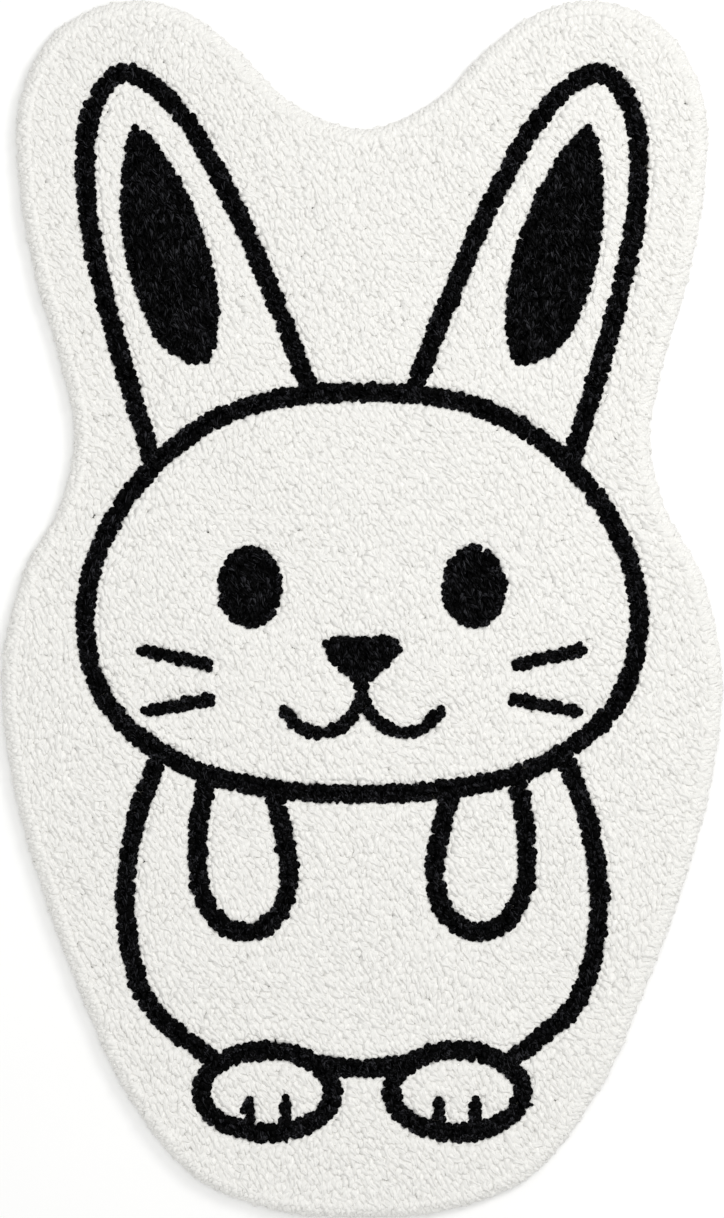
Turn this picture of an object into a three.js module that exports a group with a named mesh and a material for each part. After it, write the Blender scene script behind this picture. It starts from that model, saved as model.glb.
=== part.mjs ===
// A rabbit shaped tufted rug for a child's room, lying flat with its pile up.
// Millimetres. X is across the rug, +Y runs to the tips of the ears, +Z is up through the pile.
// The origin is the centre of the underside. The rug is one cloth, so it is one solid:
// a backing set in a little under the pile, and a pile that bulges out and rolls over at the rim.
import * as THREE from "three";
import { mergeVertices } from "three/addons/utils/BufferGeometryUtils.js";

const RUG_LENGTH = 1000;
const RUG_WIDTH = 592;
const RUG_THICKNESS = 18;
const BACKING_THICKNESS = 3;
const BACKING_SET_IN = 2.5;
const PILE_WIDEST_HEIGHT = 7;
const RIM_ROLL = 12;
const RIM_ROLL_STEPS = 5;

const POINTS_PER_SIDE = 92;
const TOP_RINGS = 5;
const SPINE_TOP = 0.25 * RUG_LENGTH;
const SPINE_BOTTOM = -0.3 * RUG_LENGTH;
const MERGE_WITHIN = 1e-3;

// The right half of the outline, from the dip between the ears down to the middle of the hem.
// out is a share of half the width, up a share of half the length.
const OUTLINE = [
  { place: "dip between the ears", out: 0, up: 0.79 },
  { place: "inner slope of the ear", out: 0.2, up: 0.835 },
  { place: "inner slope of the ear", out: 0.36, up: 0.927 },
  { place: "inner corner of the ear", out: 0.51, up: 0.987 },
  { place: "ear tip", out: 0.67, up: 1 },
  { place: "outer corner of the ear", out: 0.85, up: 0.952 },
  { place: "ear side", out: 0.95, up: 0.84 },
  { place: "ear side", out: 0.95, up: 0.69 },
  { place: "foot of the ear", out: 0.904, up: 0.54 },
  { place: "foot of the ear", out: 0.84, up: 0.41 },
  { place: "waist", out: 0.8, up: 0.29 },
  { place: "cheek", out: 0.84, up: 0.17 },
  { place: "cheek", out: 0.94, up: 0.06 },
  { place: "widest cheek", out: 1, up: -0.1 },
  { place: "below the cheek", out: 0.975, up: -0.27 },
  { place: "side of the body", out: 0.9, up: -0.44 },
  { place: "side of the body", out: 0.79, up: -0.62 },
  { place: "lower corner", out: 0.66, up: -0.79 },
  { place: "lower corner", out: 0.47, up: -0.932 },
  { place: "hem", out: 0.23, up: -0.99 },
  { place: "middle of the hem", out: 0, up: -1 },
];

// The pile stands a little uneven: two slow swells across the face, in millimetres.
const SWELLS = [
  { height: 0.55, alongX: 170, alongY: 240, shift: 0.6 },
  { height: 0.35, alongX: -95, alongY: 130, shift: 2.1 },
];

// The closed outline as evenly spaced points, the same number on each side of the middle.
function outlinePoints() {
  const at = ({ out, up }, side) =>
    new THREE.Vector3(side * out * (RUG_WIDTH / 2), up * (RUG_LENGTH / 2), 0);
  const right = OUTLINE.map((row) => at(row, 1));
  const left = OUTLINE.slice(1, -1).map((row) => at(row, -1)).reverse();
  const curve = new THREE.CatmullRomCurve3([...right, ...left], true, "centripetal");
  curve.arcLengthDivisions = 2000;
  const around = curve.getSpacedPoints(2 * POINTS_PER_SIDE).slice(0, -1);
  const half = around.slice(0, POINTS_PER_SIDE + 1);
  half[0].x = 0;
  half[POINTS_PER_SIDE].x = 0;
  const mirrored = half
    .slice(1, -1)
    .map((p) => new THREE.Vector3(-p.x, p.y, 0))
    .reverse();
  return fittedToSize([...half, ...mirrored]);
}

// The curve runs a hair past its control points, so it is scaled back to the stated size.
function fittedToSize(points) {
  const box = new THREE.Box3().setFromPoints(points);
  const size = box.getSize(new THREE.Vector3());
  const middle = box.getCenter(new THREE.Vector3());
  return points.map(
    (p) =>
      new THREE.Vector3(
        ((p.x - middle.x) * RUG_WIDTH) / size.x,
        ((p.y - middle.y) * RUG_LENGTH) / size.y,
        0,
      ),
  );
}

// The outline moved inwards by a distance, and lifted to a height.
function ringAt(outline, inset, height) {
  const count = outline.length;
  return outline.map((p, i) => {
    const before = outline[(i + count - 1) % count];
    const after = outline[(i + 1) % count];
    const along = new THREE.Vector3().subVectors(after, before).normalize();
    const inwards = new THREE.Vector3(along.y, -along.x, 0);
    return p.clone().addScaledVector(inwards, inset).setZ(height);
  });
}

// The sections of the rim from the underside up to where the pile is level.
function rimRings(outline) {
  const sections = [
    { inset: BACKING_SET_IN, height: 0 },
    { inset: BACKING_SET_IN, height: BACKING_THICKNESS },
    { inset: 0, height: PILE_WIDEST_HEIGHT },
  ];
  for (let step = 1; step <= RIM_ROLL_STEPS; step++) {
    const turn = (step / RIM_ROLL_STEPS) * (Math.PI / 2);
    sections.push({
      inset: RIM_ROLL * (1 - Math.cos(turn)),
      height: PILE_WIDEST_HEIGHT + (RUG_THICKNESS - PILE_WIDEST_HEIGHT) * Math.sin(turn),
    });
  }
  return sections.map(({ inset, height }) => ringAt(outline, inset, height));
}

function swellAt(x, y) {
  return SWELLS.reduce(
    (sum, { height, alongX, alongY, shift }) =>
      sum + height * Math.sin(2 * Math.PI * (x / alongX + y / alongY) + shift),
    0,
  );
}

// The nearest place on the straight spine that the rings close in on.
function spinePoint(p) {
  return new THREE.Vector3(0, THREE.MathUtils.clamp(p.y, SPINE_BOTTOM, SPINE_TOP), p.z);
}

// Rings from a starting ring to the spine, with the swells worked in where the pile is level.
function closingRings(start, count, swelling) {
  const rings = [];
  for (let step = 1; step <= count; step++) {
    rings.push(
      start.map((p) => {
        const inner = p.clone().lerp(spinePoint(p), step / count);
        const lift = swelling ? swellAt(inner.x, inner.y) : 0;
        return inner.setZ(p.z + lift);
      }),
    );
  }
  return rings;
}

// A closed skin over a stack of rings, with the triangles that have no width dropped.
function skinOf(rings) {
  const count = rings[0].length;
  const corners = [];
  for (let r = 0; r + 1 < rings.length; r++) {
    for (let i = 0; i < count; i++) {
      const j = (i + 1) % count;
      const [a, b, c, d] = [rings[r][i], rings[r][j], rings[r + 1][j], rings[r + 1][i]];
      corners.push(a, c, b, a, d, c);
    }
  }
  const loose = new THREE.BufferGeometry().setFromPoints(corners);
  const merged = mergeVertices(loose, MERGE_WITHIN);
  const index = [];
  for (let t = 0; t < merged.index.count; t += 3) {
    const [a, b, c] = [0, 1, 2].map((k) => merged.index.getX(t + k));
    if (a !== b && b !== c && c !== a) index.push(a, b, c);
  }
  merged.setIndex(index);
  merged.computeVertexNormals();
  return merged;
}

function rugGeometry() {
  const outline = outlinePoints();
  const rim = rimRings(outline);
  const underside = closingRings(rim[0], 1, false).reverse();
  const face = closingRings(rim[rim.length - 1], TOP_RINGS, true);
  return skinOf([...underside, ...rim, ...face]);
}

const whitePile = new THREE.MeshStandardMaterial({
  name: "white pile",
  color: "#eeede9",
  roughness: 0.95,
  metalness: 0,
});

const rug = new THREE.Mesh(rugGeometry(), whitePile);
rug.name = "tufted_rug";

const group = new THREE.Group();
group.add(rug);

export default group;
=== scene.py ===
# A rabbit shaped tufted rug for a child's room, lying on a pale floor and seen from straight above.
# A backing cloth carries thousands of yarn ends, white ones with a drawing in black ones.
# Sizes are in millimetres in the rug's own frame, and are turned to metres where a mesh is made.
import math

import bmesh
import bpy
import numpy as np
from mathutils import Matrix, Vector, kdtree, noise
from mathutils.bvhtree import BVHTree


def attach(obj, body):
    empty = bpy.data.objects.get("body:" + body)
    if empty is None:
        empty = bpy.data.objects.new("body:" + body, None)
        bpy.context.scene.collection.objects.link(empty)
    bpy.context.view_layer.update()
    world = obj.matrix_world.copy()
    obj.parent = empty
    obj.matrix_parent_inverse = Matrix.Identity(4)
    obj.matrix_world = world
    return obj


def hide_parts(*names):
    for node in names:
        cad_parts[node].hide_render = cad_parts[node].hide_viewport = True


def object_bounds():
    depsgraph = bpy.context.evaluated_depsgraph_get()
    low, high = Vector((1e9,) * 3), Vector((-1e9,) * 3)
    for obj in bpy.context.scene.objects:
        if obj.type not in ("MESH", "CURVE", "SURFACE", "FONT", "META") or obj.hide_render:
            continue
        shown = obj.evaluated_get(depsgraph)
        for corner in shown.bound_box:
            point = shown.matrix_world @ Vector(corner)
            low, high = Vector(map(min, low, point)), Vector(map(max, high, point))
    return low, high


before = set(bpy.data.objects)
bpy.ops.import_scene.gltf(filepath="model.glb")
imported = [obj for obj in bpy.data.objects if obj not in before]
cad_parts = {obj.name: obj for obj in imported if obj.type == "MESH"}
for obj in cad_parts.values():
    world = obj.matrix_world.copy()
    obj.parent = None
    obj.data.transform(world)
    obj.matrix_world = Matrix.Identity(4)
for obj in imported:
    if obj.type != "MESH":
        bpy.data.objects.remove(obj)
cad_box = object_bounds()

# Sizes of the rug that its solid has too
MM = 0.001
RUG = "tufted_rug"
BACKING_THICKNESS = 3.0
BACKING_SET_IN = 2.5
PILE_WIDEST_HEIGHT = 7.0
RIM_ROLL = 12.0
FACE_HEIGHT = 18.0

# The yarn ends of the level face: a loosened grid, evened out and filled where it gapes.
# After each filling they are evened out again for some rounds, and after the last one not at all.
YARN_PITCH = 4.92
GRID_LOOSENESS = 0.22
CLEAR_OF_ROWS = 0.62
FIELD_STARTS = 13.0
FILLING_STARTS = FIELD_STARTS - 2
WIDEST_GAP = 3.25
GAP_STEP = 1.5
RELAX_ROUNDS = 14
RELAX_AFTER_FILLING = (5, 5, 0)
RELAX_NEIGHBOURS = 6
RELAX_REACH = 1.08
RELAX_STEP = 0.3
ROOT_HEIGHT = BACKING_THICKNESS - 0.3
LOWEST_YARN = 0.2

# The rows beside each edge of the drawing. How clear they stand of others is a share of their pitch.
EDGE_PITCH = 5.85
EDGE_ROW_OFFSET = 2.4
EDGE_BAND = 1.7 * EDGE_ROW_OFFSET
LEVEL_SLACK = 0.35
BLACK_ROW_CLEAR = 0.7
MIDDLE_ROW_CLEAR = 0.95
WHITE_ROW_CLEAR = 0.8
WHITE_EDGE_DROP = 1.1
WHITE_BEAD_DEPTH = 1.2
EDGE_CLEAR = 2.0

# The rows that roll over the rim, each with its turn in degrees up from the widest place.
# Their yarn ends take bends by number, most often the second.
RIM_PITCH = 4.6
RIM_TURNS = (-18, 1, 20, 39, 58, 77)
RIM_BENDS = (0, 1, 1, 2)
RIM_TWIST = 0.5
RIM_GIRTH = 0.92
RIM_GIRTH_RANGE = (0.9, 1.1)
RIM_LENGTH_RANGE = (-0.4, 0.1)
RIM_TIP_SCATTER = 0.35
RIM_ROOT_LIFT = 0.4
RIM_ROOT_INSET = 9.0
LAST_RIM_ROOT_INSET = FIELD_STARTS - 1

# The nap leans towards the hem and a little to the right, and wanders slowly
NAP_DIRECTION = math.radians(-68)
NAP_WANDER = math.radians(40)
NAP_WANDER_SIZE = 95.0
NAP_NOISE_SHIFT = 3.1
NAP_SCATTER = math.radians(20)
EDGE_SCATTER = 0.15
UPRIGHT_SCATTER = 0.06

# How far the yarn ends bend over, as a share of the fully bent form
BEND_MEAN = 0.75
BEND_SPREAD = 0.25
EDGE_BEND = 0.25
LEAST_LEAN = 0.05

# Unevenness of the pile
LUMP_HEIGHT = 0.5
LUMP_SIZE = 26.0
LUMP_NOISE_SHIFT = 8.7
LUMP_LEVEL = 0.4
MOST_CUT_SHORT = 0.9
SHORT_YARN_RARITY = 1.5
EDGE_UNEVENNESS = 0.5
FIELD_GIRTH_RANGE = (0.88, 1.1)

SEED = 7
random = np.random.default_rng(SEED)

# The drawing, right half. Lines run through a few points each, and a mirrored one is drawn on both sides.
# Round heads reach past the edges, so a line looks about 1 to 2 mm wider than it is here.
LINE = 14.4
THIN_LINE = 9.4
CURVE_STEP = 2.5
FINE_STEP = 0.8
HEAD = [(0, 178), (110, 160), (188, 98), (226, 12), (212, -72), (142, -130), (0, -152)]
EAR = [
    (42, 178), (70, 250), (112, 345), (158, 418), (197, 440),
    (222, 408), (226, 335), (208, 245), (172, 120),
]
INNER_EAR = [
    (128, 202), (118, 236), (128, 300), (152, 356),
    (186, 396), (198, 330), (186, 262), (160, 212),
]
NOSE = [(0, -24), (20, -22), (32, -30), (18, -50), (0, -62)]
MOUTH = [(0, -60), (3, -80), (22, -99), (46, -100), (64, -84)]
UPPER_WHISKER = [(126, -46), (180, -34)]
LOWER_WHISKER = [(124, -74), (176, -84)]
BODY = [(166, -120), (187, -180), (194, -248), (176, -322), (117, -374)]
BODY_BASE = [(-40, -372), (0, -377), (40, -372)]
ARM = [
    (128, -142), (135, -190), (132, -232), (116, -258), (93, -265),
    (70, -252), (60, -224), (63, -190), (73, -152),
]
TOES = [[(63, -426), (63, -405)], [(93, -426), (93, -405)]]
EYE_CENTRE, EYE_SIZE = (92, 18), (26, 34)
FOOT_CENTRE, FOOT_SIZE = (78, -396), (54, 34)
OVAL_POINTS = 16
LINE_END_POINTS = 9
DRAWING_REACH = 20.0


# Curves and distances
POINTS_AT_ONCE = 3000
NEVER_ZERO = 1e-9
RING_TOLERANCE = 0.02


def blended(a, b, start, end, t):
    return ((end - t) * a + (t - start) * b) / (end - start)


def smooth_line(points, closed=False):
    """A smooth curve through a few points, as a polyline."""
    p = np.array(points, float)
    count = len(p)
    stretches = []
    for i in range(count if closed else count - 1):
        here, there = p[i], p[(i + 1) % count]
        before = p[i - 1] if closed or i > 0 else 2 * here - there
        after = p[(i + 2) % count] if closed or i + 2 < count else 2 * there - here
        t0 = 0.0
        t1 = t0 + math.sqrt(math.dist(before, here))
        t2 = t1 + math.sqrt(math.dist(here, there))
        t3 = t2 + math.sqrt(math.dist(there, after))
        steps = max(2, round(math.dist(here, there) / CURVE_STEP))
        t = np.linspace(t1, t2, steps, endpoint=False)[:, None]
        a1 = blended(before, here, t0, t1, t)
        a2 = blended(here, there, t1, t2, t)
        a3 = blended(there, after, t2, t3, t)
        b1 = blended(a1, a2, t0, t2, t)
        b2 = blended(a2, a3, t1, t3, t)
        stretches.append(blended(b1, b2, t1, t2, t))
    if not closed:
        stretches.append(p[-1:])
    return np.concatenate(stretches)


def closed_from_half(half):
    """A closed curve that is the same on both sides, from its right half."""
    return smooth_line(half + [(-x, y) for x, y in half[-2:0:-1]], closed=True)


def oval(centre, size):
    turns = np.linspace(0, 2 * math.pi, OVAL_POINTS, endpoint=False)
    around = [(centre[0] + size[0] * math.cos(t), centre[1] + size[1] * math.sin(t)) for t in turns]
    return smooth_line(around, closed=True)


def from_line(points, line, closed):
    """How far each point is from a polyline, and the unit vector that leads away from it."""
    starts = line if closed else line[:-1]
    runs = (np.roll(line, -1, axis=0) - line)[: len(starts)]
    lengths = (runs**2).sum(1)
    away = np.empty_like(points)
    for first in range(0, len(points), POINTS_AT_ONCE):
        last = first + POINTS_AT_ONCE
        some = points[first:last, None]
        share = np.clip(((some - starts) * runs).sum(2) / lengths, 0, 1)
        offset = some - starts - share[..., None] * runs
        nearest = (offset**2).sum(2).argmin(1)
        away[first:last] = offset[np.arange(len(nearest)), nearest]
    distance = np.linalg.norm(away, axis=1)
    return distance, away / np.maximum(distance, NEVER_ZERO)[:, None]


def is_inside(points, line):
    """Whether each point lies in a closed polyline, from the crossings on its right."""
    a, b = line, np.roll(line, -1, axis=0)
    x, y = points[:, :1], points[:, 1:]
    level = np.where(a[:, 1] == b[:, 1], 1.0, b[:, 1] - a[:, 1])
    crossing = a[:, 0] + (y - a[:, 1]) * (b[:, 0] - a[:, 0]) / level
    passed = ((a[:, 1] > y) != (b[:, 1] > y)) & (x < crossing)
    return passed.sum(1) % 2 == 1


def walk_along(line, spacing, start=0.0):
    """Evenly spaced points on a closed polyline, with the unit normal on its right."""
    loop = np.vstack([line, line[:1]])
    lengths = np.concatenate([[0], np.cumsum(np.linalg.norm(np.diff(loop, axis=0), axis=1))])
    count = round(lengths[-1] / spacing)
    at = (np.arange(count) + start) * lengths[-1] / count
    place = np.stack([np.interp(at, lengths, loop[:, k]) for k in (0, 1)], 1)
    along = np.roll(place, -1, axis=0) - np.roll(place, 1, axis=0)
    along /= np.linalg.norm(along, axis=1)[:, None]
    return place, np.stack([along[:, 1], -along[:, 0]], 1)


# Outline of the rug, read from the solid's widest ring
def outline_of_rug():
    corners = np.array([v.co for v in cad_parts[RUG].data.vertices]) / MM
    ring = corners[abs(corners[:, 2] - PILE_WIDEST_HEIGHT) < RING_TOLERANCE][:, :2]
    ring = np.unique(ring.round(2), axis=0)
    turn = np.arctan2(ring[:, 1], ring[:, 0])
    return smooth_line(ring[turn.argsort()], closed=True)


OUTLINE = outline_of_rug()


# Shapes of the drawing
def shape(line, width=0.0, closed=False, mirrored=True):
    """A black shape: a line with a width, or a filled form where the width is left out."""
    return {"line": line, "width": width, "closed": closed or not width, "mirrored": mirrored}


SHAPES = [
    shape(closed_from_half(HEAD), LINE, closed=True, mirrored=False),
    shape(smooth_line(EAR), LINE),
    shape(smooth_line(INNER_EAR, closed=True)),
    shape(oval(EYE_CENTRE, EYE_SIZE)),
    shape(closed_from_half(NOSE), mirrored=False),
    shape(smooth_line(MOUTH), THIN_LINE),
    shape(smooth_line(UPPER_WHISKER), THIN_LINE),
    shape(smooth_line(LOWER_WHISKER), THIN_LINE),
    shape(smooth_line(BODY), LINE),
    shape(smooth_line(BODY_BASE), LINE, mirrored=False),
    shape(smooth_line(ARM), LINE),
    shape(oval(FOOT_CENTRE, FOOT_SIZE), LINE, closed=True),
    *[shape(smooth_line(toe), THIN_LINE) for toe in TOES],
]


def drawing_at(points):
    """How far each point is outside the drawing, below 0 inside it, and the direction that leads out."""
    mirror = np.where(points[:, :1] < 0, [[-1.0, 1.0]], [[1.0, 1.0]])
    right = points * mirror
    depth = np.full(len(points), DRAWING_REACH)
    outwards = np.tile([1.0, 0.0], (len(points), 1))
    for form in SHAPES:
        reach = form["width"] / 2 + DRAWING_REACH
        near = ((right > form["line"].min(0) - reach) & (right < form["line"].max(0) + reach)).all(1)
        distance, away = from_line(right[near], form["line"], form["closed"])
        if form["width"]:
            distance = distance - form["width"] / 2
        else:
            side = np.where(is_inside(right[near], form["line"]), -1.0, 1.0)
            distance = distance * side
            away = away * side[:, None]
        nearer = distance < depth[near]
        changed = np.flatnonzero(near)[nearer]
        depth[changed] = distance[nearer]
        outwards[changed] = away[nearer]
    return depth, outwards * mirror


# Places of the yarn ends
def beside_line(line, closed, reach):
    """Close points at a distance from a polyline, on both sides and round its ends, in order."""
    along = np.roll(line, -1, axis=0) - np.roll(line, 1, axis=0)
    if not closed:
        along[0], along[-1] = line[1] - line[0], line[-1] - line[-2]
    heading = np.unwrap(np.arctan2(along[:, 1], along[:, 0]))
    there = line + reach * np.stack([np.sin(heading), -np.cos(heading)], 1)
    back = line[::-1] + reach * np.stack([-np.sin(heading[::-1]), np.cos(heading[::-1])], 1)
    if closed:
        return [np.vstack([there, there[:1]]), np.vstack([back, back[:1]])]
    turns = np.linspace(-math.pi / 2, math.pi / 2, LINE_END_POINTS)[1:-1, None]
    far_end = line[-1] + reach * np.hstack([np.cos(heading[-1] + turns), np.sin(heading[-1] + turns)])
    near_end = line[0] - reach * np.hstack([np.cos(heading[0] + turns), np.sin(heading[0] + turns)])
    return [np.vstack([there, far_end, back, near_end, there[:1]])]


def finer(line):
    """Close points along a polyline, a fine step apart."""
    lengths = np.concatenate([[0], np.cumsum(np.linalg.norm(np.diff(line, axis=0), axis=1))])
    at = np.arange(0, lengths[-1], FINE_STEP)
    return np.stack([np.interp(at, lengths, line[:, k]) for k in (0, 1)], 1)


def spaced_out(candidates, kept, spacing):
    """The kept points and those candidates, taken in order, that stand clear of all kept so far."""
    for point in candidates:
        if not len(kept) or ((kept - point) ** 2).sum(1).min() > spacing**2:
            kept = np.vstack([kept, point])
    return kept


def evenly(candidates, spacing):
    """Evenly spaced points out of each unbroken stretch of close points."""
    jumps = np.linalg.norm(np.diff(candidates, axis=0), axis=1) > 2 * FINE_STEP
    chosen = []
    for stretch in np.split(candidates, np.flatnonzero(jumps) + 1):
        count = max(1, round(len(stretch) * FINE_STEP / spacing))
        closed = math.dist(stretch[0], stretch[-1]) < spacing
        at = np.linspace(0, len(stretch) - 1, count + (not closed), endpoint=not closed)
        chosen.append(stretch[at.round().astype(int)])
    return np.concatenate(chosen)


def near_level(form, reach, level):
    """Close points along a shape, moved sideways, that lie at one depth in the whole drawing."""
    lines = beside_line(form["line"], form["closed"], reach) if reach else [form["line"]]
    mirrors = ((1, 1), (-1, 1)) if form["mirrored"] else ((1, 1),)
    points = np.vstack([finer(line) * mirror for line in lines for mirror in mirrors])
    return points[abs(drawing_at(points)[0] - level) < LEVEL_SLACK]


def rows_along_drawing():
    """Rows of yarn ends on both sides of each edge of the drawing, and up the middle of its wide lines.
    White ones stand between the black ones."""
    black, white = np.empty((0, 2)), np.empty((0, 2))
    for form in SHAPES:
        reach = abs(form["width"] / 2 - EDGE_ROW_OFFSET)
        along_edge = evenly(near_level(form, reach, -EDGE_ROW_OFFSET), EDGE_PITCH)
        black = spaced_out(along_edge, black, BLACK_ROW_CLEAR * EDGE_PITCH)
    for form in SHAPES:
        if form["width"] == LINE:
            black = spaced_out(near_level(form, 0, -LINE / 2), black, MIDDLE_ROW_CLEAR * YARN_PITCH)
    for form in SHAPES:
        candidates = near_level(form, form["width"] / 2 + EDGE_ROW_OFFSET, EDGE_ROW_OFFSET)
        tree = tree_of(black)
        clear = np.array([tree.find((*p, 0))[2] for p in candidates])
        white = spaced_out(candidates[(-clear).argsort()], white, WHITE_ROW_CLEAR * EDGE_PITCH)
    return black, white


def rim_row(number):
    """One row round the rim: its tips, the directions in which they stand out, and how far in it is.
    Every second row is moved along by half a pitch."""
    turn = math.radians(RIM_TURNS[number])
    inset = RIM_ROLL * (1 - math.cos(turn))
    height = PILE_WIDEST_HEIGHT + (FACE_HEIGHT - PILE_WIDEST_HEIGHT) * math.sin(turn)
    place, outwards = walk_along(OUTLINE, RIM_PITCH, start=(number % 2) / 2)
    tip = np.column_stack([place - outwards * inset, np.full(len(place), height)])
    return tip, outwards, inset


def field_points(fixed):
    """Yarn ends over the rest of the face: a hexagonal grid, loosened, then evened out between the rows."""
    reach = OUTLINE.max(0)
    rows = np.arange(-reach[1], reach[1], YARN_PITCH * math.sqrt(3) / 2)
    across = np.arange(-reach[0], reach[0], YARN_PITCH)
    x, y = np.meshgrid(across, rows)
    x[1::2] += YARN_PITCH / 2
    points = np.column_stack([x.ravel(), y.ravel()])
    points += random.uniform(-1, 1, points.shape) * YARN_PITCH * GRID_LOOSENESS
    inset = from_line(points, OUTLINE, True)[0] * np.where(is_inside(points, OUTLINE), 1, -1)
    points = points[inset > FIELD_STARTS]
    tree = tree_of(fixed)
    clear = [tree.find((*p, 0))[2] > YARN_PITCH * CLEAR_OF_ROWS for p in points]
    points = points[np.array(clear)]
    for _ in range(RELAX_ROUNDS):
        points = points + push_apart(points, fixed)
    for rounds in RELAX_AFTER_FILLING:
        points = np.vstack([points, gap_centres(np.vstack([points, fixed]))])
        for _ in range(rounds):
            points = points + push_apart(points, fixed)
    return points


def gap_centres(points):
    """Places inside the rim that are too far from every yarn end, the widest gaps first."""
    reach = OUTLINE.max(0)
    across, upwards = (np.arange(-r, r, GAP_STEP) for r in reach)
    x, y = np.meshgrid(across, upwards)
    places = np.column_stack([x.ravel(), y.ravel()])
    tree = tree_of(points)
    clear = np.array([tree.find((*p, 0))[2] for p in places])
    wide = (clear > WIDEST_GAP) & (clear < 2 * YARN_PITCH)
    places, clear = places[wide], clear[wide]
    inset = from_line(places, OUTLINE, True)[0] * np.where(is_inside(places, OUTLINE), 1, -1)
    places, clear = places[inset > FILLING_STARTS], clear[inset > FILLING_STARTS]
    return spaced_out(places[(-clear).argsort()], np.empty((0, 2)), WIDEST_GAP)


def tree_of(points):
    tree = kdtree.KDTree(len(points))
    for i, (x, y) in enumerate(points):
        tree.insert((x, y, 0), i)
    tree.balance()
    return tree


def push_apart(points, fixed):
    """A small move of each point away from those that crowd it."""
    everything = np.vstack([points, fixed])
    tree = tree_of(everything)
    found = [[j for _, j, _ in tree.find_n((*p, 0), RELAX_NEIGHBOURS + 1)][1:] for p in points]
    gaps = points[:, None] - everything[np.array(found)]
    distance = np.maximum(np.linalg.norm(gaps, axis=2), NEVER_ZERO)
    push = np.clip(YARN_PITCH * RELAX_REACH - distance, 0, None) / distance * RELAX_STEP
    return (gaps * push[..., None]).sum(1)


# Yarn ends
YARN_SIDES = 5
ROUND_SIDES = 7
YARN_HEIGHT = FACE_HEIGHT - BACKING_THICKNESS
BED_RADIUS = 4.8
ROUND_RADIUS = 3.8
# Sections of a yarn end from root to tip: how far up, how far forward, its radius, its tilt in degrees
STRAIGHT = [(0, 0, 1.7, 0), (12.4, 0, BED_RADIUS, 0), (14.2, 0, 2.4, 0), (14.8, 0, 1.2, 0), (15, 0, 0, 0)]
BENT = [
    (0, 0, 1.7, 0), (12.8, 0.3, BED_RADIUS, 5), (13.2, 2.5, 1.9, 54),
    (13.4, 7, 1.5, 84), (13.5, 8.2, 0, 84),
]
ROUND = [(0, 0, 1.7, 0), (12.0, 0, ROUND_RADIUS, 0), (14.4, 0, 3.5, 0), (15.1, 0, 2.2, 0), (15.3, 0, 0, 0)]
# How far a round head in an edge row reaches past the edge
LOBE_REACH = ROUND_RADIUS - EDGE_ROW_OFFSET
BENDS = (0.0, 0.35, 0.7, 1.0)
CURLS = (-1, 1)
CURL = 1.2
BENT_REACH = BENT[-1][1]
ROUND_KIND = len(BENDS) * len(CURLS)


def yarn_end(sections, sides, curl=0.0):
    """One yarn end from its root in the backing to its tip, as corners, triangles and the yarn's UV.
    U runs once around the yarn and V up it."""
    form = bmesh.new()
    around = form.verts.layers.float.new("around")
    along = form.verts.layers.float.new("along")
    bmesh.ops.create_circle(form, cap_ends=True, segments=sides, radius=1.0)
    cap = next(iter(form.faces))
    ring = list(form.verts)
    for vert in ring:
        vert[around] = (math.atan2(vert.co.y, vert.co.x) / (2 * math.pi)) % 1.0
    placed = Matrix.Identity(4)
    length = 0.0
    for number, (rise, forward, radius, tilt) in enumerate(sections[:-1]):
        if number:
            covered = [cap] if number > 1 else []
            made = bmesh.ops.extrude_face_region(form, geom=[cap])["geom"]
            ring = [g for g in made if isinstance(g, bmesh.types.BMVert)]
            cap = next(g for g in made if isinstance(g, bmesh.types.BMFace))
            bmesh.ops.delete(form, geom=covered, context="FACES_ONLY")
        sideways = curl * CURL * (forward / BENT_REACH) ** 2
        place = Matrix.Translation((forward, sideways, rise))
        place = place @ Matrix.Rotation(math.radians(tilt), 4, "Y") @ Matrix.Diagonal((radius, radius, 1, 1))
        length += (place.translation - placed.translation).length
        bmesh.ops.transform(form, matrix=place @ placed.inverted(), verts=ring)
        for vert in ring:
            vert[along] = length
        placed = place
    tip = bmesh.ops.poke(form, faces=[cap])["verts"][0]
    rise, forward, *_ = sections[-1]
    tip.co = (forward, curl * CURL * (forward / BENT_REACH) ** 2, rise)
    tip[along] = length + radius
    tip[around] = -1.0
    bmesh.ops.recalc_face_normals(form, faces=form.faces[:])
    bmesh.ops.triangulate(form, faces=form.faces[:], quad_method="FIXED")
    form.verts.index_update()
    corners = np.array([v.co for v in form.verts])
    turn = np.array([v[around] for v in form.verts])
    reached = np.array([v[along] for v in form.verts])
    triangles = np.array([[v.index for v in f.verts] for f in form.faces])
    form.free()
    # A triangle over the seam has its low turns lifted by one, and the tip takes the mean turn of its others
    u = turn[triangles]
    wraps = (u.max(1) - np.where(u < 0, 1.0, u).min(1)) > 0.5
    u = np.where(wraps[:, None] & (u >= 0) & (u < 0.5), u + 1, u)
    others = np.where(u < 0, 0, u).sum(1) / np.maximum((u >= 0).sum(1), 1)
    u = np.where(u < 0, others[:, None], u)
    uv = np.stack([u, reached[triangles] / YARN_HEIGHT], 2)
    return {"corners": corners, "triangles": triangles, "uv": uv}


def unit(vectors):
    return vectors / np.linalg.norm(vectors, axis=1)[:, None]


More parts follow.
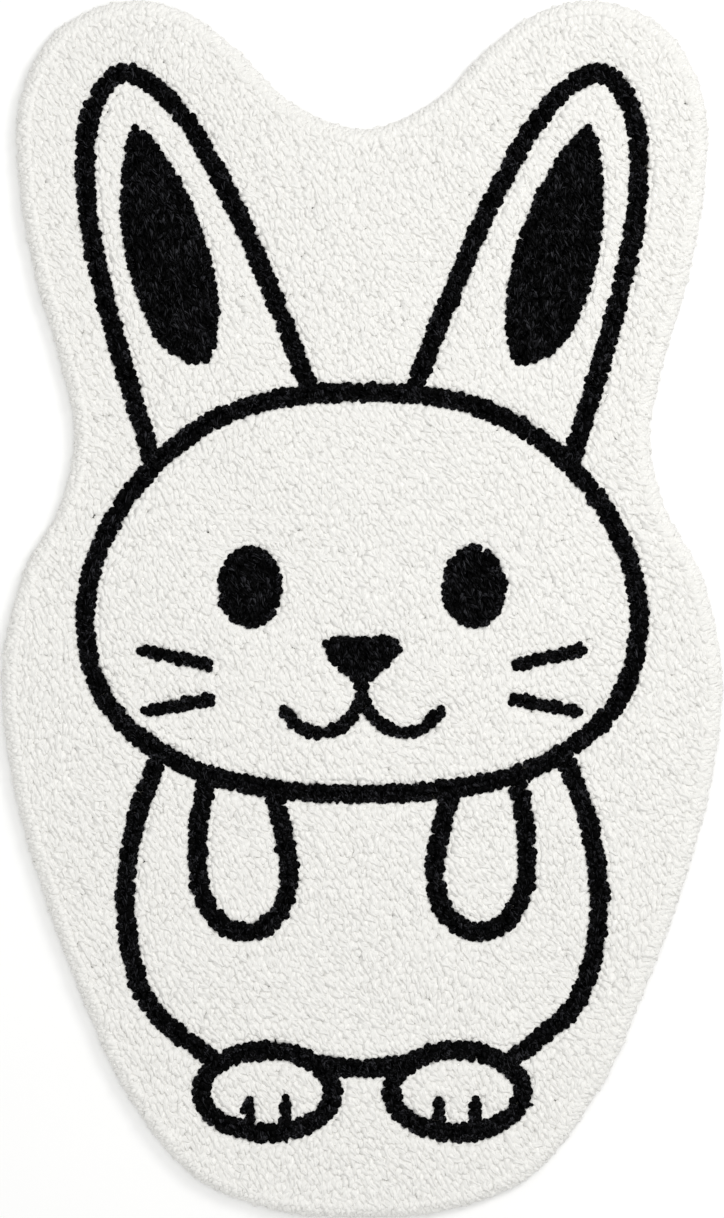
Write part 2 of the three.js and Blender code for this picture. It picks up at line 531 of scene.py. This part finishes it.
def pile_mesh(name, yarns, forms):
    """Many yarn ends joined in one mesh, with the yarn's own UV map and one shade for each yarn end."""
    corners, triangles, uvs, shades = [], [], [], []
    used = 0
    for kind, form in enumerate(forms):
        mine = yarns["kind"] == kind
        count = int(mine.sum())
        if not count:
            continue
        turn = np.stack(
            [
                yarns["lean"][mine] * yarns["girth"][mine, None],
                yarns["side"][mine] * yarns["girth"][mine, None],
                yarns["up"][mine] * yarns["height"][mine, None] / YARN_HEIGHT,
            ],
            2,
        )
        placed = np.einsum("nij,vj->nvi", turn, form["corners"]) + yarns["root"][mine, None]
        corners.append(placed.reshape(-1, 3))
        size = len(form["corners"])
        first_corner = used + size * np.arange(count)
        triangles.append((form["triangles"] + first_corner[:, None, None]).reshape(-1, 3))
        used += size * count
        uv = form["uv"] + yarns["uv_shift"][mine][:, None, None, None]
        uvs.append(uv.reshape(-1, 2))
        shades.append(np.repeat(yarns["shade"][mine], size))
    corners = np.concatenate(corners)
    corners[:, 2] = np.maximum(corners[:, 2], LOWEST_YARN)
    triangles = np.concatenate(triangles)
    mesh = bpy.data.meshes.new(name)
    mesh.vertices.add(len(corners))
    mesh.vertices.foreach_set("co", (corners * MM).astype(np.float32).ravel())
    mesh.loops.add(triangles.size)
    mesh.loops.foreach_set("vertex_index", triangles.ravel().astype(np.int32))
    mesh.polygons.add(len(triangles))
    mesh.polygons.foreach_set("loop_start", np.arange(0, triangles.size, 3, dtype=np.int32))
    mesh.polygons.foreach_set("use_smooth", np.ones(len(triangles), bool))
    mesh.update(calc_edges=True)
    mesh.uv_layers.new(name="yarn")
    mesh.uv_layers["yarn"].data.foreach_set("uv", np.concatenate(uvs).astype(np.float32).ravel())
    attribute = mesh.attributes.new("yarn_shade", "FLOAT", "POINT")
    attribute.data.foreach_set("value", np.concatenate(shades).astype(np.float32))
    piece = bpy.data.objects.new(name, mesh)
    bpy.context.scene.collection.objects.link(piece)
    return piece


def slow_noise(points, size, shift):
    """Smooth noise at each point, with lumps of a size."""
    return np.array([noise.noise(Vector((x / size + shift, y / size - shift, shift))) for x, y in points])


def face_height_at(points):
    """Height of the solid's face over each point."""
    surface = BVHTree.FromObject(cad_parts[RUG], bpy.context.evaluated_depsgraph_get())
    above = 2 * FACE_HEIGHT
    found = [surface.ray_cast(Vector((x, y, above)) * MM, Vector((0, 0, -1)))[0] for x, y in points]
    return np.array([FACE_HEIGHT if f is None else f.z / MM for f in found])


def field_yarns(points):
    """Yarn ends on the level face: they lean with the nap, and beside the drawing's edges along them."""
    depth, outwards = drawing_at(points)
    count = len(points)
    nap = NAP_DIRECTION + NAP_WANDER * slow_noise(points, NAP_WANDER_SIZE, NAP_NOISE_SHIFT)
    nap = nap + random.normal(0, NAP_SCATTER, count)
    lean = np.stack([np.cos(nap), np.sin(nap)], 1)
    tangent = np.stack([-outwards[:, 1], outwards[:, 0]], 1)
    tangent *= np.sign((tangent * lean).sum(1))[:, None]
    at_edge = abs(depth) < EDGE_BAND
    lean[at_edge] = unit(tangent[at_edge] + EDGE_SCATTER * random.normal(0, 1, (at_edge.sum(), 2)))
    bend = np.clip(random.normal(BEND_MEAN, BEND_SPREAD, count), 0, 1)
    bend[at_edge] = EDGE_BEND * random.random(at_edge.sum())
    away_from_drawing = (lean * outwards).sum(1)
    towards_edge = np.where(depth > 0, -away_from_drawing, abs(away_from_drawing))
    room = (abs(depth) - EDGE_CLEAR) / np.maximum(towards_edge, LEAST_LEAN) / BENT_REACH
    bend = np.where(at_edge, bend, np.minimum(bend, np.clip(room, 0, 1)))
    nearest_bend = abs(np.array(BENDS) - bend[:, None]).argmin(1)
    kind = nearest_bend * len(CURLS) + random.integers(0, len(CURLS), count)
    black = depth < -WHITE_BEAD_DEPTH
    rounded = at_edge & black
    kind[rounded] = ROUND_KIND
    lumps = slow_noise(points, LUMP_SIZE, LUMP_NOISE_SHIFT) - LUMP_LEVEL
    top = face_height_at(points) + LUMP_HEIGHT * lumps
    unevenness = np.where(at_edge, EDGE_UNEVENNESS, 1)
    top = top - MOST_CUT_SHORT * random.random(count) ** SHORT_YARN_RARITY * unevenness
    top[at_edge & ~rounded] -= WHITE_EDGE_DROP
    flat_lean = np.column_stack([lean, np.zeros(count)])
    up = unit(np.column_stack([random.normal(0, UPRIGHT_SCATTER, (count, 2)), np.ones(count)]))
    girth = random.uniform(*FIELD_GIRTH_RANGE, count)
    girth[at_edge] = 1.0
    girth[rounded] = np.minimum(1, (abs(depth[rounded]) + LOBE_REACH) / ROUND_RADIUS)
    inner = black & ~at_edge
    girth[inner] = np.minimum(girth[inner], abs(depth[inner]) / BED_RADIUS)
    return {
        "root": np.column_stack([points, np.full(count, ROOT_HEIGHT)]),
        "up": up,
        "lean": flat_lean,
        "side": np.cross(up, flat_lean),
        "height": top - ROOT_HEIGHT,
        "girth": girth,
        "kind": kind,
        "black": black,
    }


def rim_yarns():
    """Yarn ends that roll over the rim, fanning out from the backing."""
    tips, roots, sides = [], [], []
    for number in range(len(RIM_TURNS)):
        tip, outwards, tip_inset = rim_row(number)
        share = number / (len(RIM_TURNS) - 1)
        root_inset = RIM_ROOT_INSET + share * (LAST_RIM_ROOT_INSET - RIM_ROOT_INSET)
        place = tip[:, :2] + outwards * (tip_inset - root_inset)
        tips.append(tip)
        roots.append(np.column_stack([place, np.full(len(place), ROOT_HEIGHT + RIM_ROOT_LIFT)]))
        sides.append(np.column_stack([-outwards[:, 1], outwards[:, 0], np.zeros(len(place))]))
    tip, root, side = (np.concatenate(a) for a in (tips, roots, sides))
    count = len(tip)
    tip = tip + random.normal(0, RIM_TIP_SCATTER, tip.shape)
    up = unit(tip - root)
    lean = np.cross(side, up)
    turn = random.normal(0, RIM_TWIST, count)[:, None]
    turned_lean = unit(lean * np.cos(turn) + side * np.sin(turn))
    turned_side = unit(side * np.cos(turn) - lean * np.sin(turn))
    return {
        "root": root,
        "up": up,
        "lean": turned_lean,
        "side": turned_side,
        "height": np.linalg.norm(tip - root, axis=1) + random.uniform(*RIM_LENGTH_RANGE, count),
        "girth": RIM_GIRTH * random.uniform(*RIM_GIRTH_RANGE, count),
        "kind": random.choice(RIM_BENDS, count) * len(CURLS) + random.integers(0, len(CURLS), count),
        "black": np.zeros(count, bool),
    }


# Materials
def colour(hex_value):
    """An sRGB hex colour as the linear colour that a shader takes."""
    parts = [int(hex_value[i : i + 2], 16) / 255 for i in (1, 3, 5)]
    return (*[p / 12.92 if p <= 0.04045 else ((p + 0.055) / 1.055) ** 2.4 for p in parts], 1.0)


def add(tree, kind, values=None, links=None, **settings):
    """Adds one node: settings are its own, values go into its sockets and links join sockets to them."""
    node = tree.nodes.new(kind)
    for name, value in settings.items():
        setattr(node, name, value)
    for socket, value in (values or {}).items():
        node.inputs[socket].default_value = value
    for socket, source in (links or {}).items():
        tree.links.new(source, node.inputs[socket])
    return node


def new_material(name):
    material = bpy.data.materials.new(name)
    material.use_nodes = True
    tree = material.node_tree
    tree.nodes.clear()
    return material, tree


# Four plies that turn a little over once in a yarn end, and streaky bundles of fibres along them.
# A single fibre is too fine to show, so a streak is as coarse as a bundle of them.
# On white yarn a streak is a lighter tone of the fibres; on black yarn it is a painted glint.
# The girth is the way round a yarn end where its radius is 2 mm.
TWIST_PLIES = 4
TWIST_TURNS = 1.2
YARN_GIRTH = 12.6
STREAK_WIDTH = 0.9
STREAK_LENGTH = 5.0
STREAKS = (YARN_GIRTH / STREAK_WIDTH, YARN_HEIGHT / STREAK_LENGTH, 1.0)
# Where a streak starts and where it is full; on black yarn these bound its painted glints
STREAK_STARTS, STREAK_FULL = 0.52, 0.68
STREAK_RELIEF = 0.8


def yarn_material(name, dark, light, shader_values, twist_depth):
    """Spun polyester yarn: soft plies twisted together, with streaky fibres that vary end by end; on black
    yarn the light colour of a streak is a painted glint.
    """
    material, tree = new_material(name)
    uv = add(tree, "ShaderNodeUVMap", uv_map="yarn").outputs["UV"]
    shade = add(tree, "ShaderNodeAttribute", attribute_name="yarn_shade").outputs["Fac"]
    place = add(tree, "ShaderNodeSeparateXYZ", links={"Vector": uv})
    around = add(
        tree, "ShaderNodeMath", {1: 2 * math.pi * TWIST_PLIES},
        {0: place.outputs["X"]}, operation="MULTIPLY",
    )
    climb = add(
        tree, "ShaderNodeMath", {1: 2 * math.pi * TWIST_TURNS},
        {0: place.outputs["Y"], 2: around.outputs[0]}, operation="MULTIPLY_ADD",
    )
    plies = add(tree, "ShaderNodeMath", links={0: climb.outputs[0]}, operation="SINE")
    stretched = add(tree, "ShaderNodeMapping", {"Scale": STREAKS}, {"Vector": uv})
    fibres = add(tree, "ShaderNodeTexNoise", {"Scale": 1.0, "Detail": 2.0}, {"Vector": stretched.outputs[0]})
    # Where the light colour lies along the fibres: a lighter fibre tone on white yarn, painted glints on
    # black yarn
    streaks_and_painted_glints = add(
        tree, "ShaderNodeMapRange", {"From Min": STREAK_STARTS, "From Max": STREAK_FULL},
        {"Value": fibres.outputs["Fac"]}, interpolation_type="SMOOTHSTEP",
    )
    streak_and_painted_glint_share = add(
        tree, "ShaderNodeMath", links={0: streaks_and_painted_glints.outputs["Result"], 1: shade}, operation="MULTIPLY"
    )
    relief = add(
        tree, "ShaderNodeMath", {1: STREAK_RELIEF},
        {0: fibres.outputs["Fac"], 2: plies.outputs[0]}, operation="MULTIPLY_ADD",
    )
    bump = add(
        tree, "ShaderNodeBump", {"Strength": 1.0, "Distance": twist_depth * MM},
        {"Height": relief.outputs[0]},
    )
    # The dark colour mixed with the light one, which on black yarn is a painted glint
    tone = add(
        tree, "ShaderNodeMix", {"A": colour(dark), "B": colour(light)},
        {"Factor": streak_and_painted_glint_share.outputs[0]}, data_type="RGBA",
    )
    shader = add(
        tree, "ShaderNodeBsdfPrincipled", shader_values,
        {"Base Color": tone.outputs["Result"], "Normal": bump.outputs["Normal"]},
    )
    add(tree, "ShaderNodeOutputMaterial", links={"Surface": shader.outputs["BSDF"]})
    return material


# White spun polyester, cut: matt, with a soft bright fuzz that evens out its shadows
white_yarn = yarn_material(
    "white spun polyester yarn", "#efeeea", "#f9f8f4",
    {"Roughness": 0.95, "Specular IOR Level": 0.15, "Sheen Weight": 0.25, "Sheen Roughness": 0.6},
    twist_depth=0.12,
)
# Black spun polyester, cut: nearly without light, with grey glints painted into its colour along its fibres,
# and real glints from its low roughness on the plies that face the lamp
black_yarn = yarn_material(
    "black spun polyester yarn", "#010101", "#3c3c40",
    {"Roughness": 0.3, "Specular IOR Level": 0.03},
    twist_depth=0.3,
)


THREAD_SPACING = 1.4
WEAVE_RELIEF = 0.3
# How far apart the bands of a wave texture are, in metres, at a scale of one
BAND_AT_SCALE_ONE = 2 * math.pi / 20
FLOOR_CLOUD = 160.0


def backing_material():
    """Woven polyester backing: flat and matt, with a plain weave of threads that lie close together."""
    material, tree = new_material("woven polyester backing cloth")
    place = add(tree, "ShaderNodeTexCoord").outputs["Object"]
    wave_scale = BAND_AT_SCALE_ONE / (THREAD_SPACING * MM)
    waves = []
    for direction in ("X", "Y"):
        waves.append(
            add(
                tree, "ShaderNodeTexWave", {"Scale": wave_scale, "Distortion": 0.4, "Detail": 2.0},
                {"Vector": place}, bands_direction=direction,
            ).outputs["Fac"]
        )
    weave = add(tree, "ShaderNodeMath", links={0: waves[0], 1: waves[1]}, operation="MULTIPLY")
    bump = add(
        tree, "ShaderNodeBump", {"Strength": 0.6, "Distance": WEAVE_RELIEF * MM},
        {"Height": weave.outputs[0]},
    )
    tone = add(
        tree, "ShaderNodeMix", {"A": colour("#c9c4b8"), "B": colour("#dedacf")},
        {"Factor": weave.outputs[0]}, data_type="RGBA",
    )
    shader = add(
        tree, "ShaderNodeBsdfPrincipled", {"Roughness": 0.9, "Specular IOR Level": 0.2},
        {"Base Color": tone.outputs["Result"], "Normal": bump.outputs["Normal"]},
    )
    add(tree, "ShaderNodeOutputMaterial", links={"Surface": shader.outputs["BSDF"]})
    return material


def floor_material():
    """Matt white floor paint, with a faint unevenness."""
    material, tree = new_material("matt white floor paint")
    place = add(tree, "ShaderNodeTexCoord").outputs["Object"]
    clouds_per_metre = 1 / (FLOOR_CLOUD * MM)
    cloudy = add(
        tree, "ShaderNodeTexNoise", {"Scale": clouds_per_metre, "Detail": 2.0}, {"Vector": place}
    )
    tone = add(
        tree, "ShaderNodeMix", {"A": colour("#fcfcfb"), "B": colour("#fefefd")},
        {"Factor": cloudy.outputs["Fac"]}, data_type="RGBA",
    )
    shader = add(
        tree, "ShaderNodeBsdfPrincipled", {"Roughness": 0.9, "Specular IOR Level": 0.1},
        {"Base Color": tone.outputs["Result"]},
    )
    add(tree, "ShaderNodeOutputMaterial", links={"Surface": shader.outputs["BSDF"]})
    return material


# Camera: straight above the middle of the rug, with the frame just longer than the rug
FRAME_PIXELS = 1218
RUG_PIXELS = 1215
LENS, SENSOR = 100.0, 36.0
FARTHEST_SEEN_METRES = 20.0
camera_data = bpy.data.cameras.new("camera")
camera_data.lens = LENS
camera_data.sensor_width = SENSOR
camera_data.clip_end = FARTHEST_SEEN_METRES
camera = bpy.data.objects.new("camera", camera_data)
bpy.context.scene.collection.objects.link(camera)
rug_length = cad_box[1].y - cad_box[0].y
frame_height = rug_length * FRAME_PIXELS / RUG_PIXELS
camera.location = (0, 0, frame_height * LENS / SENSOR + PILE_WIDEST_HEIGHT * MM)
bpy.context.scene.camera = camera

# Pile
tips_of_last_row = rim_row(len(RIM_TURNS) - 1)[0][:, :2]
black_rows, white_rows = rows_along_drawing()
fixed_points = np.vstack([black_rows, white_rows, tips_of_last_row])
filling = field_points(fixed_points)
field = field_yarns(np.vstack([black_rows, white_rows, filling]))
rim = rim_yarns()
yarns = {key: np.concatenate([field[key], rim[key]]) for key in field}
yarns["shade"], yarns["uv_shift"] = random.random((len(yarns["kind"]), 2)).T
bent_over = [np.array(STRAIGHT) * (1 - bend) + np.array(BENT) * bend for bend in BENDS]
yarn_forms = [yarn_end(sections, YARN_SIDES, curl) for sections in bent_over for curl in CURLS]
yarn_forms.append(yarn_end(ROUND, ROUND_SIDES))

# The pile is parted across the rug, so that no piece grows too heavy
WHITE_ZONES = [
    {"name": "white_pile_ears", "from": 300},
    {"name": "white_pile_brow", "from": 150},
    {"name": "white_pile_face", "from": 25},
    {"name": "white_pile_cheeks", "from": -105},
    {"name": "white_pile_chest", "from": -250},
    {"name": "white_pile_feet", "from": -520},
]
BLACK_ZONES = [
    {"name": "black_pile_ears", "from": 150},
    {"name": "black_pile_face_and_body", "from": -520},
]


def pile_pieces(zones, of_this_colour, material):
    """The yarn ends of one colour, as one joined piece for each zone of the rug."""
    pieces = []
    at = yarns["root"][:, 1]
    above = np.inf
    for zone in zones:
        mine = of_this_colour & (at >= zone["from"]) & (at < above)
        piece = pile_mesh(zone["name"], {key: values[mine] for key, values in yarns.items()}, yarn_forms)
        piece.data.materials.append(material)
        pieces.append(piece)
        above = zone["from"]
    return pieces


pile = pile_pieces(WHITE_ZONES, ~yarns["black"], white_yarn)
pile += pile_pieces(BLACK_ZONES, yarns["black"], black_yarn)


# Backing
BACKING_STEP = 5.0
BACKING_EDGE = 0.6
SHARP_ANGLE = math.radians(57)


def backing_piece():
    """The backing cloth: one flat slab with softened edges, set in under the pile."""
    place, outwards = walk_along(OUTLINE, BACKING_STEP)
    ring = place - outwards * BACKING_SET_IN
    form = bmesh.new()
    corners = [form.verts.new((x * MM, y * MM, 0)) for x, y in ring]
    face = form.faces.new(corners)
    made = bmesh.ops.extrude_face_region(form, geom=[face])["geom"]
    raised = [g for g in made if isinstance(g, bmesh.types.BMVert)]
    bmesh.ops.translate(form, verts=raised, vec=(0, 0, BACKING_THICKNESS * MM))
    bmesh.ops.recalc_face_normals(form, faces=form.faces[:])
    rims = [e for e in form.edges if e.calc_face_angle() > SHARP_ANGLE]
    bmesh.ops.bevel(
        form, geom=rims, offset=BACKING_EDGE * MM, offset_type="OFFSET", segments=2,
        profile=0.5, material=-1, affect="EDGES",
    )
    bmesh.ops.triangulate(form, faces=[f for f in form.faces if len(f.verts) > 4])
    mesh = bpy.data.meshes.new("backing_cloth")
    form.to_mesh(mesh)
    form.free()
    piece = bpy.data.objects.new("backing_cloth", mesh)
    bpy.context.scene.collection.objects.link(piece)
    piece.data.materials.append(backing_material())
    return piece, ring


backing, backing_ring = backing_piece()
for piece in [*pile, backing]:
    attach(piece, "root")
    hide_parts(RUG)


# Floor, light and world, with these sizes in metres
FLOOR_HALF_WIDTH = 6.0
LIGHT_DISTANCE = 2.6
WORLD_STRENGTH = 0.62


def floor_piece():
    """A plain floor well past the camera's view."""
    form = bmesh.new()
    bmesh.ops.create_grid(form, x_segments=4, y_segments=4, size=FLOOR_HALF_WIDTH)
    mesh = bpy.data.meshes.new("floor")
    form.to_mesh(mesh)
    form.free()
    floor = bpy.data.objects.new("floor", mesh)
    bpy.context.scene.collection.objects.link(floor)
    floor.data.materials.append(floor_material())


def soft_light(name, size, power, azimuth, elevation):
    """A square soft light, in metres and watts, that faces the rug from a direction in degrees."""
    azimuth, elevation = math.radians(azimuth), math.radians(elevation)
    data = bpy.data.lights.new(name, "AREA")
    data.size = size
    data.energy = power
    light = bpy.data.objects.new(name, data)
    bpy.context.scene.collection.objects.link(light)
    level = math.cos(elevation)
    towards = Vector((math.cos(azimuth) * level, math.sin(azimuth) * level, math.sin(elevation)))
    light.location = towards * LIGHT_DISTANCE
    light.rotation_mode = "QUATERNION"
    light.rotation_quaternion = towards.to_track_quat("Z", "Y")


floor_piece()
soft_light("key light", size=0.8, power=18, azimuth=38, elevation=48)
soft_light("overhead light", size=2.0, power=22, azimuth=90, elevation=88)
world = bpy.data.worlds.new("pale studio")
world.use_nodes = True
world.node_tree.nodes["Background"].inputs["Color"].default_value = colour("#ffffff")
world.node_tree.nodes["Background"].inputs["Strength"].default_value = WORLD_STRENGTH
bpy.context.scene.world = world
bpy.context.scene.view_settings.view_transform = "Standard"
